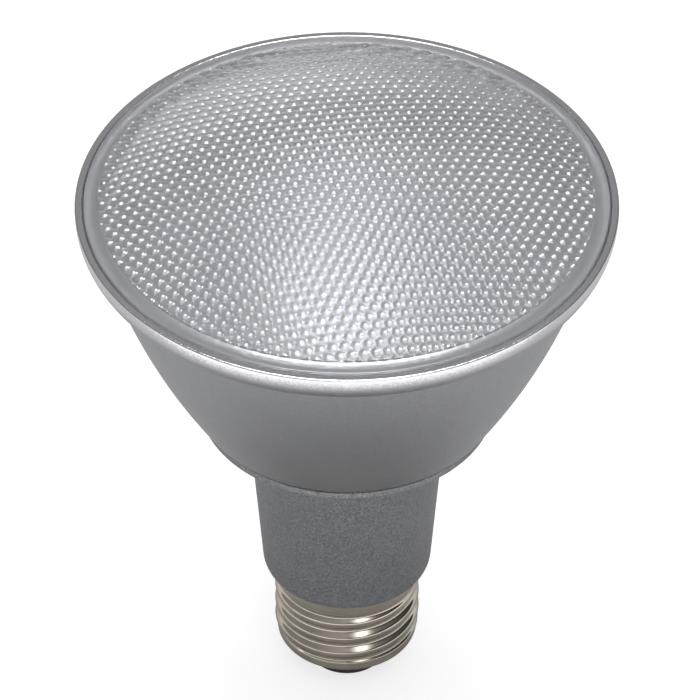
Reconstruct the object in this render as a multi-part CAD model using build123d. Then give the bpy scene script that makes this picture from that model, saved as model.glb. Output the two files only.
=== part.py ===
from build123d import *
import os
from math import hypot, radians, sqrt, tan

# Reflector lamp on a medium screw base. Millimetres, +Z from the base to the lens.
# The origin is the tip of the centre contact, on the lamp's axis.

# Screw base
base_height = 24.0  # contact tip to the foot of the neck
thread_pitch = 25.4 / 7
thread_crest_diameter = 26.2
thread_depth = 0.82
thread_crest_width = 0.4
thread_shoulder_drop = 0.17  # below the crest, where the flanks start
thread_flank_angle = 35.0  # from the axis, degrees
thread_end_angle = 120.0  # where round the axis the crest meets the collar, degrees
collar_diameter = 26.36
collar_height = 2.9
shell_wall = 0.4
shell_lip_height = 7.0  # contact tip to the shell's turned-in lip
shell_foot_diameter = 25.2
shell_foot_chamfer = 1.0
shell_foot_height = 1.6
shell_lip_width = 1.5
contact_diameter = 9.6
contact_thickness = 1.2
contact_edge_chamfer = 0.4
eyelet_diameter = 3.8
eyelet_wall = 0.7
eyelet_rise = 0.6  # above the insulator
insulator_tip_diameter = 13.6
insulator_waist_drop = 1.2  # below the lip, where the insulator's cone starts
insulator_flange_thickness = 1.3
insulator_flange_width = 0.7

# Neck
neck_height = 36.4  # foot to the corner under the shoulder
neck_foot_diameter = 30.1
neck_top_diameter = 35.8
neck_wall = 1.8
neck_foot_round = 2.4
neck_step_thickness = 2.0  # floor between the neck's bore and its spigot
shoulder_rise = 1.5  # from that corner out to the lip
neck_lip_diameter = 52.8
neck_lip_height = 1.45
flange_rise = 1.65  # above the lip, inside the bowl's edge
spigot_wall = 1.4
spigot_length = 11.5
post_diameter = 6.0
post_circle_diameter = 39.0
post_count = 3
post_first_angle = 30.0
slot_rib_width = 1.3
slot_rib_reach = 1.6  # how far a rib holds the board in from its edge
slot_rib_length = 30.0

# Bowl
bowl_edge_diameter = 53.4
bowl_edge_chamfer = 0.4
bowl_top_diameter = 87.1
bowl_height = 39.1  # lower edge to the crease under the bead
bowl_bulge = 1.6
bowl_wall = 2.0
floor_rise = 6.9  # lower edge to the underside of the floor
floor_thickness = 3.0
rim_diameter = 95.0
bead_round = 3.0
bead_height = 6.15
bead_lean = 0.1  # how far the bead leans in at its top
lip_width = 1.28
lip_round = 0.6

# Lens
lens_thickness = 2.2
lens_sink = 0.3  # of the lens's flange below the top of the lip
lens_dome_rise = 7.3
lens_edge_chamfer = 0.3
lens_ledge_width = 1.52
lens_rib_width = 0.75
lens_rib_height = 0.85
lens_rib_inset = 0.4  # from the reflector's edge

# Reflector
reflector_wall = 1.2
reflector_bore_diameter = 19.6
reflector_foot_height = 2.2

# Light source
led_board_diameter = 32.0
led_board_thickness = 1.6
led_width = 3.0
led_height = 0.75
led_window = 2.3
led_window_depth = 0.35
led_inner_count = 4
led_inner_circle_diameter = 6.4
led_outer_count = 8
led_outer_circle_diameter = 14.4

# Screws
neck_screw_diameter = 2.9
neck_screw_head_diameter = 5.4
neck_screw_head_height = 1.9
neck_screw_length = 8.4
board_screw_diameter = 2.4
board_screw_head_diameter = 4.4
board_screw_head_height = 1.5
board_screw_length = 4.4
board_screw_circle_diameter = 27.0
board_screw_count = 2
screw_head_chamfer = 0.5

# Driver board and its components, sizes along X, Y and Z
driver_board_thickness = 1.2
driver_board_offset = -3.0  # of the board's middle plane from the axis, along Y
driver_board_tail = 10.0  # below the neck's step
driver_board_top_gap = 3.4  # below the bowl's floor
bulk_capacitor_diameter = 10.0
bulk_capacitor_length = 18.0
bulk_capacitor_groove = 0.4
bulk_capacitor_groove_rise = 2.2
output_capacitor_diameter = 6.3
output_capacitor_length = 10.5
film_capacitor_size = (8.6, 7.6, 5.0)
film_capacitor_chamfer = 0.6
varistor_diameter = 7.0
varistor_thickness = 3.6
varistor_chamfer = 0.8
fuse_resistor_diameter = 3.2
fuse_resistor_length = 8.5
fuse_resistor_chamfer = 0.6
choke_diameter = 7.0
choke_height = 7.6
choke_waist_diameter = 4.6
choke_flange_thickness = 1.3
core_leg_width = 3.2
core_window_width = 2.9
core_window_height = 7.2
core_yoke = 2.4
core_depth = 6.0
bobbin_wall = 0.5
winding_thickness = 1.5
rectifier_size = (6.4, 2.4, 8.0)
chip_size = (5.0, 1.6, 4.0)
transistor_size = (6.5, 2.3, 6.1)
resistor_size = (2.0, 0.5, 1.25)
resistor_count = 6
resistor_pitch = 3.2
component_gap = 1.5  # between neighbours on the board

# Leads
lead_diameter = 1.2
lead_bend_radius = 1.6
led_lead_spacing = 4.0
led_lead_circle_diameter = 27.0
led_lead_stub = 0.5  # above the light board
live_lead_drop = 2.0  # straight stretch below the board
neutral_lead_side = 6.0  # of the lead from the axis, along X

# Clearances
fit_gap = 0.15
seat_gap = 0.05
wire_gap = 0.2
reflector_gap = 0.3  # between the reflector and the bowl's wall
same_place = 1e-3  # how near an edge lies to the place where it is looked for

# Heights that follow from the sizes above
neck_step_z = base_height + neck_step_thickness
spigot_z = base_height - spigot_length
shoulder_z = base_height + neck_height
neck_lip_z = shoulder_z + shoulder_rise
neck_lip_top_z = neck_lip_z + neck_lip_height
flange_top_z = neck_lip_top_z + flange_rise
edge_z = neck_lip_top_z + fit_gap
floor_z = edge_z + floor_rise
floor_top_z = floor_z + floor_thickness
crease_z = edge_z + bowl_height
lip_z = crease_z + bead_height
lens_top_z = lip_z - lens_sink
lens_seat_z = lens_top_z - lens_thickness
reflector_top_z = lens_seat_z - lens_rib_height
reflector_ledge_z = reflector_top_z - reflector_wall
led_board_top_z = floor_top_z + led_board_thickness
collar_z = base_height - collar_height
lip_top_z = shell_lip_height + shell_wall
thread_low_z = shell_lip_height + shell_foot_height
insulator_top_z = lip_top_z + insulator_flange_thickness
driver_low_z = neck_step_z - driver_board_tail
driver_high_z = floor_z - driver_board_top_gap

# Radii that follow from the sizes above
thread_root_radius = thread_crest_diameter / 2 - thread_depth
shell_bore_radius = thread_root_radius - shell_wall
lip_opening_radius = shell_foot_diameter / 2 - shell_foot_chamfer - shell_lip_width
spigot_radius = shell_bore_radius - fit_gap
spigot_bore_radius = spigot_radius - spigot_wall
recess_radius = rim_diameter / 2 - bead_lean - lip_width
lens_radius = recess_radius - fit_gap
ledge_radius = recess_radius - lens_ledge_width
reflector_radius = ledge_radius - fit_gap
reflector_foot_radius = reflector_bore_diameter / 2 + reflector_wall
lead_hole_radius = lead_diameter / 2 + wire_gap

# Faces of the driver board, and the places of what stands on it
board_front_y = driver_board_offset + driver_board_thickness / 2
board_back_y = driver_board_offset - driver_board_thickness / 2
core_height = core_window_height + 2 * core_yoke
bulk_capacitor_z = driver_low_z + component_gap
core_z = bulk_capacitor_z + bulk_capacitor_length + component_gap
film_capacitor_z = core_z + core_height + component_gap
output_capacitor_z = film_capacitor_z + film_capacitor_size[2] + component_gap
led_lead_z = driver_high_z - lead_diameter


def wall_circle():
    """Centre radius, centre height and radius of the arc that the bowl's outer wall follows."""
    low_r, high_r = bowl_edge_diameter / 2, bowl_top_diameter / 2
    chord = hypot(high_r - low_r, bowl_height)
    radius = chord**2 / (8 * bowl_bulge) + bowl_bulge / 2
    back = (radius - bowl_bulge) / chord
    centre_r = (low_r + high_r) / 2 - bowl_height * back
    centre_z = (edge_z + crease_z) / 2 + (high_r - low_r) * back
    return centre_r, centre_z, radius


def wall_radius(height, inset=0.0):
    """Radius of the bowl's wall at a height, set in from its outer face."""
    centre_r, centre_z, radius = wall_circle()
    return centre_r + sqrt((radius - inset) ** 2 - (height - centre_z) ** 2)


def wall_arc(low, high, inset=0.0):
    """Stretch of the bowl's wall between two heights, as an arc in radius and height."""
    middle = (low + high) / 2
    return ThreePointArc(*((wall_radius(z, inset), z) for z in (low, middle, high)))


def neck_radius(height, inset=0.0):
    """Radius of the tapered neck at a height, set in from its outer face."""
    share = (height - base_height) / neck_height
    return (neck_foot_diameter + share * (neck_top_diameter - neck_foot_diameter)) / 2 - inset


def turned(outline):
    """Solid of revolution about Z from a closed outline in radius and height."""
    return revolve(Plane.XZ * make_face(outline), Axis.Z)


def turned_points(*points):
    """Solid of revolution about Z from the corners of its outline."""
    return turned(Polyline(*points, close=True))


def upright(diameter, low, high):
    """Round bar about Z between two heights."""
    standing = (Align.CENTER, Align.CENTER, Align.MIN)
    return Pos(0, 0, low) * Cylinder(diameter / 2, high - low, align=standing)


def rim(solid, radius, height):
    """The circular edge of a turned solid with this radius at this height."""
    circles = solid.edges().filter_by(GeomType.CIRCLE)
    circles = circles.filter_by(lambda edge: abs(edge.radius - radius) < same_place)
    return circles.filter_by(lambda edge: abs(edge.arc_center.Z - height) < same_place)


def around(shape, diameter, count, first_angle=0.0):
    """Copies of a shape round a circle about Z."""
    return [place * shape for place in PolarLocations(diameter / 2, count, first_angle)]


def block(size, x, low_z, front):
    """Box on a face of the driver board, centred at x and standing on low_z."""
    depth = size[1] / 2
    y = board_front_y + depth if front else board_back_y - depth
    return Pos(x, y, low_z + size[2] / 2) * Box(*size)


def wire(*points):
    """Round lead along straight runs joined by arcs."""
    path = FilletPolyline(*points, radius=lead_bend_radius)
    return sweep(Plane(path @ 0, z_dir=path % 0) * Circle(lead_diameter / 2), path=path)


def thread_ridge():
    """Helical ridge of the thread, one turn longer at each end than the threaded stretch."""
    start_z = thread_low_z - thread_pitch
    length = collar_z + thread_pitch - start_z
    turn = thread_end_angle - 360 * (collar_z - start_z) / thread_pitch
    rise = tan(radians(thread_flank_angle))
    shoulder = thread_depth - thread_shoulder_drop
    shoulder_half = thread_pitch / 4 - (shoulder - thread_depth / 2) / rise
    foot_half = thread_pitch / 4 + (shell_wall / 2 + thread_depth / 2) / rise
    crest_half = thread_crest_width / 2
    outline = Polyline(
        (-shell_wall / 2, -foot_half),
        (shoulder, -shoulder_half),
        (thread_depth, -crest_half),
        (thread_depth, crest_half),
        (shoulder, shoulder_half),
        (-shell_wall / 2, foot_half),
        close=True,
    )
    section = Plane.XZ * Pos(thread_root_radius, start_z) * make_face(outline)
    path = Pos(0, 0, start_z) * Helix(thread_pitch, length, thread_root_radius)
    return Rot(0, 0, turn) * sweep(section, path=path, is_frenet=True)


def screw_shell():
    """Plated shell: collar, rolled thread and a bevelled foot with a turned-in lip."""
    foot_r = shell_foot_diameter / 2
    foot = upright(shell_foot_diameter, shell_lip_height, thread_low_z)
    foot = chamfer(rim(foot, foot_r, shell_lip_height), shell_foot_chamfer)
    core = upright(2 * thread_root_radius, thread_low_z, collar_z)
    ridge = thread_ridge() & upright(collar_diameter, thread_low_z, collar_z)
    body = core + ridge + foot + upright(collar_diameter, collar_z, base_height)
    bore = upright(2 * shell_bore_radius, lip_top_z, base_height)
    collar_bore = upright(collar_diameter - 2 * shell_wall, collar_z + shell_wall, base_height)
    return body - bore - collar_bore - upright(2 * lip_opening_radius, shell_lip_height, lip_top_z)


def base_insulator():
    """Moulded insulator: a flange inside the shell, a waist in its lip and a cone down to the contact."""
    waist_r = lip_opening_radius - fit_gap
    flange_r = lip_opening_radius + insulator_flange_width
    eyelet_hole_r = eyelet_diameter / 2 + seat_gap
    waist_z = shell_lip_height - insulator_waist_drop
    return turned_points(
        (eyelet_hole_r, contact_thickness),
        (insulator_tip_diameter / 2, contact_thickness),
        (waist_r, waist_z),
        (waist_r, lip_top_z),
        (flange_r, lip_top_z),
        (flange_r, insulator_top_z),
        (eyelet_hole_r, insulator_top_z),
    )


def centre_contact():
    """Contact button with a hollow eyelet that goes up through the insulator."""
    button = upright(contact_diameter, 0, contact_thickness)
    button = chamfer(rim(button, contact_diameter / 2, 0), contact_edge_chamfer)
    eyelet = upright(eyelet_diameter, contact_thickness, insulator_top_z + eyelet_rise)
    bore = upright(eyelet_diameter - 2 * eyelet_wall, contact_thickness, insulator_top_z + eyelet_rise)
    return button + eyelet - bore


def neck_housing():
    """Tapered neck: spigot for the shell, lip and flange under the bowl, screw posts, board slots."""
    lip_r = neck_lip_diameter / 2
    flange_r = wall_radius(edge_z, bowl_wall) - fit_gap
    top_r, top_bore_r = neck_radius(shoulder_z), neck_radius(flange_top_z, neck_wall)
    foot_r, step_bore_r = neck_radius(base_height), neck_radius(neck_step_z, neck_wall)
    outer = turned_points(
        (0, spigot_z),
        (spigot_radius, spigot_z),
        (spigot_radius, base_height),
        (foot_r, base_height),
        (top_r, shoulder_z),
        (lip_r, neck_lip_z),
        (lip_r, neck_lip_top_z),
        (flange_r, neck_lip_top_z),
        (flange_r, flange_top_z),
        (0, flange_top_z),
    )
    outer = fillet(rim(outer, foot_r, base_height), neck_foot_round)
    post = upright(post_diameter, neck_lip_top_z, floor_z)
    posts = around(post, post_circle_diameter, post_count, post_first_angle)
    bore = turned_points(
        (0, spigot_z),
        (spigot_bore_radius, spigot_z),
        (spigot_bore_radius, neck_step_z),
        (step_bore_r, neck_step_z),
        (top_bore_r, flange_top_z),
        (0, flange_top_z),
    )
    pilot = upright(neck_screw_diameter + 2 * seat_gap, floor_top_z - neck_screw_length - fit_gap, floor_z)
    pilots = around(pilot, post_circle_diameter, post_count, post_first_angle)
    slot_width = driver_board_thickness + 2 * fit_gap
    half_board = driver_half_width()
    rib = Box(
        neck_foot_diameter,
        slot_width + 2 * slot_rib_width,
        slot_rib_length,
        align=(Align.MIN, Align.CENTER, Align.MIN),
    )
    rib = Pos(half_board - slot_rib_reach, 0, 0) * rib
    board_foot = Pos(0, driver_board_offset, neck_step_z)
    ribs = [board_foot * Rot(0, 0, turn) * rib for turn in (0, 180)]
    slot = Box(
        2 * (half_board + fit_gap),
        slot_width,
        slot_rib_length,
        align=(Align.CENTER, Align.CENTER, Align.MIN),
    )
    tube = outer + posts - bore
    held = [bore & each for each in ribs]
    return tube + held - board_foot * slot - pilots


def driver_half_width():
    """Half the driver board's width, where the neck's bore is narrowest round it."""
    reach = abs(driver_board_offset) + driver_board_thickness / 2
    return sqrt(neck_radius(neck_step_z, neck_wall) ** 2 - reach**2) - 2 * fit_gap


def tail_half_width():
    """Half the width of the board's tail, which goes down inside the spigot."""
    reach = abs(driver_board_offset) + driver_board_thickness / 2
    return sqrt(spigot_bore_radius**2 - reach**2) - fit_gap


def bowl_housing():
    """Cast bowl: bead and lip at the rim, ledges for lens and reflector, floor for the light board."""
    rim_r, lip_r = rim_diameter / 2, recess_radius + lip_width
    edge_bore_r = wall_radius(edge_z, bowl_wall)
    ledge_bore_r = wall_radius(crease_z, bowl_wall)
    outline = (
        wall_arc(edge_z, crease_z)
        + Line((bowl_top_diameter / 2, crease_z), (rim_r - bead_round, crease_z))
        + TangentArc((rim_r - bead_round, crease_z), (rim_r, crease_z + bead_round), tangent=(1, 0))
        + TangentArc((rim_r, crease_z + bead_round), (lip_r, lip_z), tangent=(0, 1))
        + Polyline(
            (lip_r, lip_z),
            (recess_radius, lip_z),
            (recess_radius, lens_seat_z),
            (ledge_radius, lens_seat_z),
            (ledge_radius, reflector_ledge_z),
            (ledge_bore_r, reflector_ledge_z),
            (ledge_bore_r, crease_z),
        )
        + wall_arc(edge_z, crease_z, bowl_wall)
        + Line((edge_bore_r, edge_z), (bowl_edge_diameter / 2, edge_z))
    )
    body = turned(outline)
    body = chamfer(rim(body, bowl_edge_diameter / 2, edge_z), bowl_edge_chamfer)
    body = fillet(rim(body, lip_r, lip_z) + rim(body, recess_radius, lip_z), lip_round)
    middle = bowl_wall / 2
    floor = turned_points(
        (0, floor_z),
        (wall_radius(floor_z, middle), floor_z),
        (wall_radius(floor_top_z, middle), floor_top_z),
        (0, floor_top_z),
    )
    return body + floor - neck_screw_holes() - board_screw_holes() - lead_holes()


def neck_screw_holes():
    """Clearance holes in the bowl's floor for the screws that hold the neck."""
    hole = upright(neck_screw_diameter + 2 * fit_gap, floor_z, floor_top_z)
    return around(hole, post_circle_diameter, post_count, post_first_angle)


def board_screw_holes():
    """Holes through the bowl's floor and the light board for the board's screws."""
    hole = upright(board_screw_diameter + 2 * seat_gap, floor_z, led_board_top_z)
    return around(hole, board_screw_circle_diameter, board_screw_count)


def lead_places():
    """Places along X and Y of the two leads to the light board."""
    y = sqrt((led_lead_circle_diameter / 2) ** 2 - (led_lead_spacing / 2) ** 2)
    return (led_lead_spacing / 2, y), (-led_lead_spacing / 2, y)


def lead_holes():
    """Holes through the bowl's floor and the light board for its two leads."""
    hole = upright(2 * lead_hole_radius, floor_z, led_board_top_z)
    return [Pos(x, y, 0) * hole for x, y in lead_places()]


def reflector_mouth():
    """Radius of the reflector's mouth, which keeps its outer face clear of the bowl's wall."""
    return wall_radius(crease_z, bowl_wall) - reflector_gap - reflector_wall / 2


def front_lens():
    """Clear lens: shallow dome in a plain flange, with a rib that holds the reflector down."""
    rib_r = reflector_radius - lens_rib_inset
    rib_bore_r = rib_r - lens_rib_width
    inner_top, outer_top = (0, lens_seat_z + lens_dome_rise), (0, lens_top_z + lens_dome_rise)
    outline = (
        TangentArc(inner_top, (rib_bore_r, lens_seat_z), tangent=(1, 0))
        + Polyline(
            (rib_bore_r, lens_seat_z),
            (rib_bore_r, reflector_top_z),
            (rib_r, reflector_top_z),
            (rib_r, lens_seat_z),
            (lens_radius, lens_seat_z),
            (lens_radius, lens_top_z),
            (rib_r, lens_top_z),
        )
        + TangentArc(outer_top, (rib_r, lens_top_z), tangent=(1, 0))
        + Line(outer_top, inner_top)
    )
    return chamfer(rim(turned(outline), lens_radius, lens_top_z), lens_edge_chamfer)


def reflector():
    """Metallised reflector: round foot on the light board, parabolic bowl and a flange under the lens."""
    foot_r, mouth_r = reflector_bore_diameter / 2, reflector_mouth()
    bend_z = led_board_top_z + reflector_foot_height
    rise = reflector_top_z - bend_z
    # A parabola about the axis is a curve whose middle control point stands halfway out.
    middle_r = (foot_r + mouth_r) / 2
    middle_z = bend_z + rise * foot_r / (foot_r + mouth_r)
    inside = Bezier((foot_r, bend_z), (middle_r, middle_z), (mouth_r, reflector_top_z))
    outside = Bezier(
        (mouth_r + reflector_wall / 2, reflector_ledge_z),
        (middle_r + reflector_wall, middle_z - reflector_wall),
        (reflector_foot_radius, bend_z - reflector_wall / 2),
    )
    outline = (
        inside
        + Polyline(
            (mouth_r, reflector_top_z),
            (reflector_radius, reflector_top_z),
            (reflector_radius, reflector_ledge_z),
            (mouth_r + reflector_wall / 2, reflector_ledge_z),
        )
        + outside
        + Polyline(
            (reflector_foot_radius, bend_z - reflector_wall / 2),
            (reflector_foot_radius, led_board_top_z),
            (foot_r, led_board_top_z),
            (foot_r, bend_z),
        )
    )
    return turned(outline)


def led_board():
    """Round metal-core board on the bowl's floor."""
    board = upright(led_board_diameter, floor_top_z, led_board_top_z)
    return board - board_screw_holes() - lead_holes()


def led_places():
    """Places of the light sources on their board, in two rings."""
    inner = PolarLocations(led_inner_circle_diameter / 2, led_inner_count)
    outer = PolarLocations(led_outer_circle_diameter / 2, led_outer_count)
    return [Pos(0, 0, led_board_top_z) * place for place in (*inner, *outer)]


def led_bodies():
    """White package of each light source, with a square window in its top."""
    package = Pos(0, 0, led_height / 2) * Box(led_width, led_width, led_height)
    window = Pos(0, 0, led_height - led_window_depth / 2) * Box(led_window, led_window, led_window_depth)
    return Compound(children=[place * (package - window) for place in led_places()])


def led_phosphors():
    """Yellow fill in the window of each light source."""
    fill = Pos(0, 0, led_height - led_window_depth / 2) * Box(led_window, led_window, led_window_depth)
    return Compound(children=[place * fill for place in led_places()])


def pan_screw(diameter, head_diameter, head_height, length, seat_z):
    """Pan-head screw with its head on a seat and its shank below."""
    head = upright(head_diameter, seat_z, seat_z + head_height)
    head = chamfer(rim(head, head_diameter / 2, seat_z + head_height), screw_head_chamfer)
    return head + upright(diameter, seat_z - length, seat_z)


def neck_screws():
    """Screws through the bowl's floor into the neck's posts."""
    screw = pan_screw(
        neck_screw_diameter,
        neck_screw_head_diameter,
        neck_screw_head_height,
        neck_screw_length,
        floor_top_z,
    )
    return Compound(children=around(screw, post_circle_diameter, post_count, post_first_angle))


def board_screws():
    """Screws that hold the light board to the bowl's floor."""
    screw = pan_screw(
        board_screw_diameter,
        board_screw_head_diameter,
        board_screw_head_height,
        board_screw_length,
        led_board_top_z,
    )
    return Compound(children=around(screw, board_screw_circle_diameter, board_screw_count))


def driver_board():
    """Circuit board on the neck's step, with a narrow tail down inside the spigot."""
    wide, narrow = driver_half_width(), tail_half_width()
    outline = Polyline(
        (-narrow, driver_low_z),
        (narrow, driver_low_z),
        (narrow, neck_step_z),
        (wide, neck_step_z),
        (wide, driver_high_z),
        (-wide, driver_high_z),
        (-wide, neck_step_z),
        (-narrow, neck_step_z),
        close=True,
    )
    face = Plane.XZ.offset(-board_front_y) * make_face(outline)
    return extrude(face, driver_board_thickness)


def bulk_capacitor():
    """Input electrolytic capacitor, laid against the board with its sleeve's groove near the foot."""
    radius = bulk_capacitor_diameter / 2
    groove_r = radius - bulk_capacitor_groove
    low, high = bulk_capacitor_z, bulk_capacitor_z + bulk_capacitor_length
    groove_z = low + bulk_capacitor_groove_rise
    can = turned_points(
        (0, low),
        (radius, low),
        (radius, groove_z - bulk_capacitor_groove),
        (groove_r, groove_z),
        (radius, groove_z + bulk_capacitor_groove),
        (radius, high),
        (0, high),
    )
    can = chamfer(rim(can, radius, high), bulk_capacitor_groove)
    return Pos(0, board_front_y + radius + seat_gap, 0) * can


def output_capacitor():
    """Output electrolytic capacitor, lying across the board's left half."""
    radius = output_capacitor_diameter / 2
    x = -component_gap / 2 - output_capacitor_length / 2
    z = output_capacitor_z + radius
    can = Cylinder(radius, output_capacitor_length)
    return Pos(x, board_front_y + radius + seat_gap, z) * Rot(0, 90, 0) * can


def film_capacitor():
    """Boxed film capacitor on the board's left half."""
    x = -component_gap / 2 - film_capacitor_size[0] / 2
    box = block(film_capacitor_size, x, film_capacitor_z, front=True)
    return chamfer(box.faces().sort_by(Axis.Y)[-1].edges(), film_capacitor_chamfer)


def varistor():
    """Disc varistor on the board's right half, standing on its edge."""
    radius = varistor_diameter / 2
    x = component_gap / 2 + varistor_thickness / 2
    disc = Cylinder(radius, varistor_thickness)
    disc = chamfer(disc.edges().filter_by(GeomType.CIRCLE), varistor_chamfer)
    return Pos(x, board_front_y + radius + seat_gap, film_capacitor_z + radius) * Rot(0, 90, 0) * disc


def fuse_resistor():
    """Fusible resistor beside the varistor, lying along the board."""
    radius = fuse_resistor_diameter / 2
    x = component_gap / 2 + varistor_thickness + component_gap + radius
    rod = Cylinder(radius, fuse_resistor_length)
    rod = chamfer(rod.edges().filter_by(GeomType.CIRCLE), fuse_resistor_chamfer)
    return Pos(x, board_front_y + radius + seat_gap, film_capacitor_z + fuse_resistor_length / 2) * rod


def filter_choke():
    """Drum choke on the board's right half, above the fusible resistor."""
    radius, waist = choke_diameter / 2, choke_waist_diameter / 2
    low = film_capacitor_z + fuse_resistor_length + component_gap / 2
    drum = turned_points(
        (0, 0),
        (radius, 0),
        (radius, choke_flange_thickness),
        (waist, choke_flange_thickness),
        (waist, choke_height - choke_flange_thickness),
        (radius, choke_height - choke_flange_thickness),
        (radius, choke_height),
        (0, choke_height),
    )
    x = component_gap / 2 + led_lead_spacing / 2 + radius
    return Pos(x, board_front_y, low + radius) * Rot(-90, 0, 0) * drum


def transformer_sizes():
    """Width and depth of the bobbin's barrel and of its flanges, and the middle of the core."""
    barrel = (core_leg_width + 2 * (seat_gap + bobbin_wall), core_depth + 2 * (seat_gap + bobbin_wall))
    flange = (barrel[0] + 2 * winding_thickness, barrel[1] + 2 * winding_thickness)
    middle = Pos(0, board_front_y + flange[1] / 2, core_z + core_height / 2)
    return barrel, flange, middle


def transformer_core():
    """Ferrite core: a frame with a middle leg between two windows."""
    middle = transformer_sizes()[2]
    width = core_leg_width + 2 * (core_window_width + core_leg_width / 2)
    window = Box(core_window_width, core_depth, core_window_height)
    shift = core_leg_width / 2 + core_window_width / 2
    windows = [Pos(side * shift, 0, 0) * window for side in (-1, 1)]
    return middle * (Box(width, core_depth, core_height) - windows)


def transformer_bobbin():
    """Moulded bobbin round the core's middle leg, with a flange at each end that meets the board."""
    barrel, flange, middle = transformer_sizes()
    height = core_window_height - 2 * seat_gap
    shift = height / 2 - bobbin_wall / 2
    plate = Box(*flange, bobbin_wall)
    spool = Box(*barrel, height) + Pos(0, 0, shift) * plate + Pos(0, 0, -shift) * plate
    leg = Box(core_leg_width + 2 * seat_gap, core_depth + 2 * seat_gap, height)
    return middle * (spool - leg)


def transformer_winding():
    """Copper winding between the bobbin's flanges."""
    barrel, flange, middle = transformer_sizes()
    height = core_window_height - 2 * seat_gap - 2 * bobbin_wall
    coil = Box(flange[0] - 2 * seat_gap, flange[1] - 2 * seat_gap, height)
    coil = fillet(coil.edges().filter_by(Axis.Z), winding_thickness / 2)
    return middle * (coil - Box(*barrel, height))


def bridge_rectifier():
    """Bridge rectifier on the back of the board, low down."""
    return block(rectifier_size, 0, neck_step_z + component_gap, front=False)


def control_chip():
    """Control chip on the back of the board, above the rectifier."""
    return block(chip_size, 0, neck_step_z + 2 * component_gap + rectifier_size[2], front=False)


def switch_transistor():
    """Switching transistor on the back of the board, above the chip."""
    low = neck_step_z + 3 * component_gap + rectifier_size[2] + chip_size[2]
    return block(transistor_size, 0, low, front=False)


def chip_resistors():
    """Row of chip resistors up the back of the board, beside the chip."""
    x = transistor_size[0] / 2 + component_gap + resistor_size[0] / 2
    low = neck_step_z + component_gap
    places = [low + i * resistor_pitch for i in range(resistor_count)]
    return Compound(children=[block(resistor_size, x, z, front=False) for z in places])


def live_lead():
    """Lead from the board's tail to the contact's eyelet."""
    bend_z = driver_low_z - live_lead_drop
    return wire(
        (0, driver_board_offset, driver_low_z),
        (0, driver_board_offset, bend_z),
        (0, 0, bend_z + driver_board_offset),
        (0, 0, contact_thickness),
    )


def neutral_lead():
    """Lead from the board's tail to the inside of the shell, under the spigot."""
    turn_z = insulator_top_z + wire_gap + lead_diameter / 2
    end_x = sqrt((shell_bore_radius - wire_gap) ** 2 - (abs(driver_board_offset) + lead_diameter / 2) ** 2)
    return wire(
        (neutral_lead_side, driver_board_offset, driver_low_z),
        (neutral_lead_side, driver_board_offset, turn_z),
        (end_x, driver_board_offset, turn_z),
    )


def led_lead(place):
    """Lead from the driver board's head up through the floor to the light board."""
    x, y = place
    return wire(
        (x, board_front_y, led_lead_z),
        (x, y, led_lead_z),
        (x, y, led_board_top_z + led_lead_stub),
    )


def led_lead_positive():
    """Positive lead to the light board."""
    return led_lead(lead_places()[0])


def led_lead_negative():
    """Negative lead to the light board."""
    return led_lead(lead_places()[1])


pieces = (
    front_lens,
    bowl_housing,
    neck_housing,
    screw_shell,
    base_insulator,
    centre_contact,
    reflector,
    led_board,
    led_bodies,
    led_phosphors,
    neck_screws,
    board_screws,
    driver_board,
    bulk_capacitor,
    output_capacitor,
    film_capacitor,
    varistor,
    fuse_resistor,
    filter_choke,
    transformer_core,
    transformer_bobbin,
    transformer_winding,
    bridge_rectifier,
    control_chip,
    switch_transistor,
    chip_resistors,
    live_lead,
    neutral_lead,
    led_lead_positive,
    led_lead_negative,
)
os.makedirs("parts", exist_ok=True)
for piece in pieces:
    export_step(piece(), f"parts/{piece.__name__}.step")
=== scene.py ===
"""Looks of a reflector lamp on a screw base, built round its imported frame.

Lengths are in metres. Heights run along the lamp's axis from the tip of the centre contact.
"""

import logging
import math
from contextlib import contextmanager
from dataclasses import dataclass, field
from enum import Enum
from typing import Any, Iterator, Sequence, Union

import bpy
from mathutils import Matrix, Vector


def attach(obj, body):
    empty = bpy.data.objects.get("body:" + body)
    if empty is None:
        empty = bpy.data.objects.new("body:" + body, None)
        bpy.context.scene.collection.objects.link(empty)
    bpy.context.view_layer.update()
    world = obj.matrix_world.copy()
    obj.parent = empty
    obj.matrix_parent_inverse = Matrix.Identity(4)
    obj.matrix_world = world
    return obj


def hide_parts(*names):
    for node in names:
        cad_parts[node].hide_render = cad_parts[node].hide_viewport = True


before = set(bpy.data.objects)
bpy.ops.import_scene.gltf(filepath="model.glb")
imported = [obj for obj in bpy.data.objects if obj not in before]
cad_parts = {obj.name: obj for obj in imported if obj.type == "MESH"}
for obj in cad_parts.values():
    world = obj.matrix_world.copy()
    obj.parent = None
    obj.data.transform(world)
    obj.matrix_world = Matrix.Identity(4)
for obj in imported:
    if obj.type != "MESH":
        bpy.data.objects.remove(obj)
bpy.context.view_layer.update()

LOG = logging.getLogger("lamp")
BODY = "root"
AXIS = (0.0, 0.0, 1.0)
MERGE_DISTANCE = 1e-6
SHARP_ANGLE = 32.0
BAR_SEGMENTS = 32
HEX_SIDES = 6
HEX_TURN = 60.0

# Sizes that two sub-assemblies share
LENS_SEAT = 0.10625
NECK_SCREW_CIRCLE = 0.0195
NECK_SCREW_ANGLES = (30.0, 150.0, 270.0)

Point = tuple[float, float]
Place = tuple[float, float, float]
Colour = tuple[float, float, float]


# Work at the bench: selecting, turning and joining meshes


def pick(piece: bpy.types.Object) -> None:
    """Select one object alone and make it the active one.

    Args:
        piece: The object to select.
    """
    bpy.ops.object.select_all(action="DESELECT")
    piece.select_set(True)
    bpy.context.view_layer.objects.active = piece


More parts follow.
